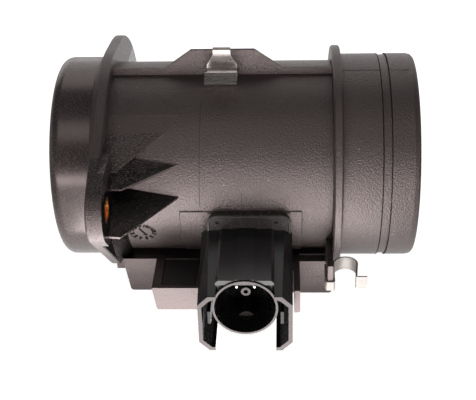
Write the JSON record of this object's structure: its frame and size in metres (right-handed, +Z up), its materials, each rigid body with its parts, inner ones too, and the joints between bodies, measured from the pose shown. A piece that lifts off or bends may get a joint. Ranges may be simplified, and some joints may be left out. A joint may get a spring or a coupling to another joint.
{
  "type": "mass airflow sensor",
  "caption": "Moulded air duct with a two-eared bolting flange, hose spigots, spring clips and a plug-in hot-film sensing module with a round side connector.",
  "frame": {"origin": "on the duct's axis, at the inlet face of the flange", "axes": "+X along the duct the way the air flows, -Y the way the connector faces, +Z up"},
  "size_m": [0.151, 0.1464, 0.1029],
  "materials": {
    "duct_plastic": "fine-grained moulded black-grey",
    "connector_plastic": "smooth moulded black",
    "lid_plastic": "smooth moulded black",
    "module_plastic": "smooth moulded dark grey",
    "grid_plastic": "smooth moulded dark grey",
    "bushing_brass": "turned",
    "contact_metal": "tinned",
    "clip_steel": "bright spring steel",
    "seal_rubber": "soft seal",
    "ceramic": "fired white",
    "film_glass": "glazed",
    "probe_coating": "dipped bead",
    "board_laminate": "lacquered"
  },
  "bodies": {
    "root": {"tube_housing": "duct_plastic", "flange_bushings": "bushing_brass", "connector_housing": "connector_plastic", "terminal_pins": "contact_metal", "module_seal": "seal_rubber", "bypass_body": "module_plastic", "bypass_cover": "module_plastic", "sensor_board": "ceramic", "hot_film_element": "film_glass", "air_temperature_probe": "probe_coating", "electronics_lid": "lid_plastic", "circuit_board": "board_laminate", "inlet_flow_grid": "grid_plastic", "grid_retaining_ring": "grid_plastic", "top_spring_clip": "clip_steel", "lower_spring_clip": "clip_steel"}
  },
  "joints": []
}
